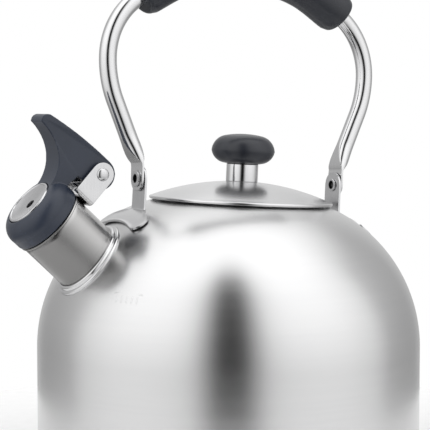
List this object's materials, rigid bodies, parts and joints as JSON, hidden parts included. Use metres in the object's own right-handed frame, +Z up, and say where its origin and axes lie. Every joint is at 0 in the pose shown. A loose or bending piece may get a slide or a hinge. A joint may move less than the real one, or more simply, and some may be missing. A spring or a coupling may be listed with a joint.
{
  "type": "stovetop whistling kettle",
  "caption": "Domed steel stovetop kettle with a swinging bail handle, a sprung flip-up whistle on its short spout and a lift-off knobbed lid.",
  "frame": {"origin": "centre of the round base, on the face that stands on the hob", "axes": "+Z up; the spout points to -X and the handle turns about a line close to X"},
  "size_m": [0.2446, 0.22, 0.2922],
  "materials": {
    "brushed_steel": "satin, fine brushing round the body",
    "base_steel": "satin, turned",
    "satin_steel": "fine satin",
    "polished_steel": "mirror polish",
    "hardware_steel": "bright",
    "dark_plastic": "soft-touch matte",
    "aluminium": "as pressed"
  },
  "bodies": {
    "kettle": {"body_shell": "brushed_steel", "neck_ring": "brushed_steel", "base_pan": "brushed_steel", "base_core": "aluminium", "base_cap": "base_steel", "spout_tube": "brushed_steel", "spout_foot_ring": "polished_steel", "hinge_bracket": "satin_steel", "hinge_rivet": "hardware_steel", "torsion_spring": "hardware_steel", "front_bracket": "satin_steel", "rear_bracket": "satin_steel", "front_rivet": "hardware_steel", "rear_rivet": "hardware_steel", "front_washer": "hardware_steel", "rear_washer": "hardware_steel"},
    "whistle": {"whistle_lever": "dark_plastic", "whistle_face": "satin_steel", "whistle_cup": "satin_steel", "whistle_inner_disc": "satin_steel"},
    "handle": {"handle_tube": "polished_steel", "handle_grip": "dark_plastic"},
    "lid": {"lid_plate": "brushed_steel", "lid_skirt": "brushed_steel", "knob_stem": "polished_steel", "knob": "dark_plastic", "knob_screw": "hardware_steel", "knob_washer": "hardware_steel"}
  },
  "joints": [
    {"name": "handle_fold", "type": "hinge", "parent": "kettle", "child": "handle", "pos_m": [0.0078, 0, 0.1595], "axis": [0.9985, 0, -0.0541], "range_deg": [-106, 113]},
    {"name": "whistle_open", "type": "hinge", "parent": "kettle", "child": "whistle", "pos_m": [-0.08514, 0, 0.1664], "axis": [0, 1, 0], "range_deg": [0, 48], "stiffness_Nm_per_rad": 0.03, "springref_deg": -68.75, "deforming": ["torsion_spring"]},
    {"name": "lid_lift", "type": "slide", "parent": "kettle", "child": "lid", "axis": [0.0541, 0, 0.9985], "range_m": [0, 0.05]}
  ]
}
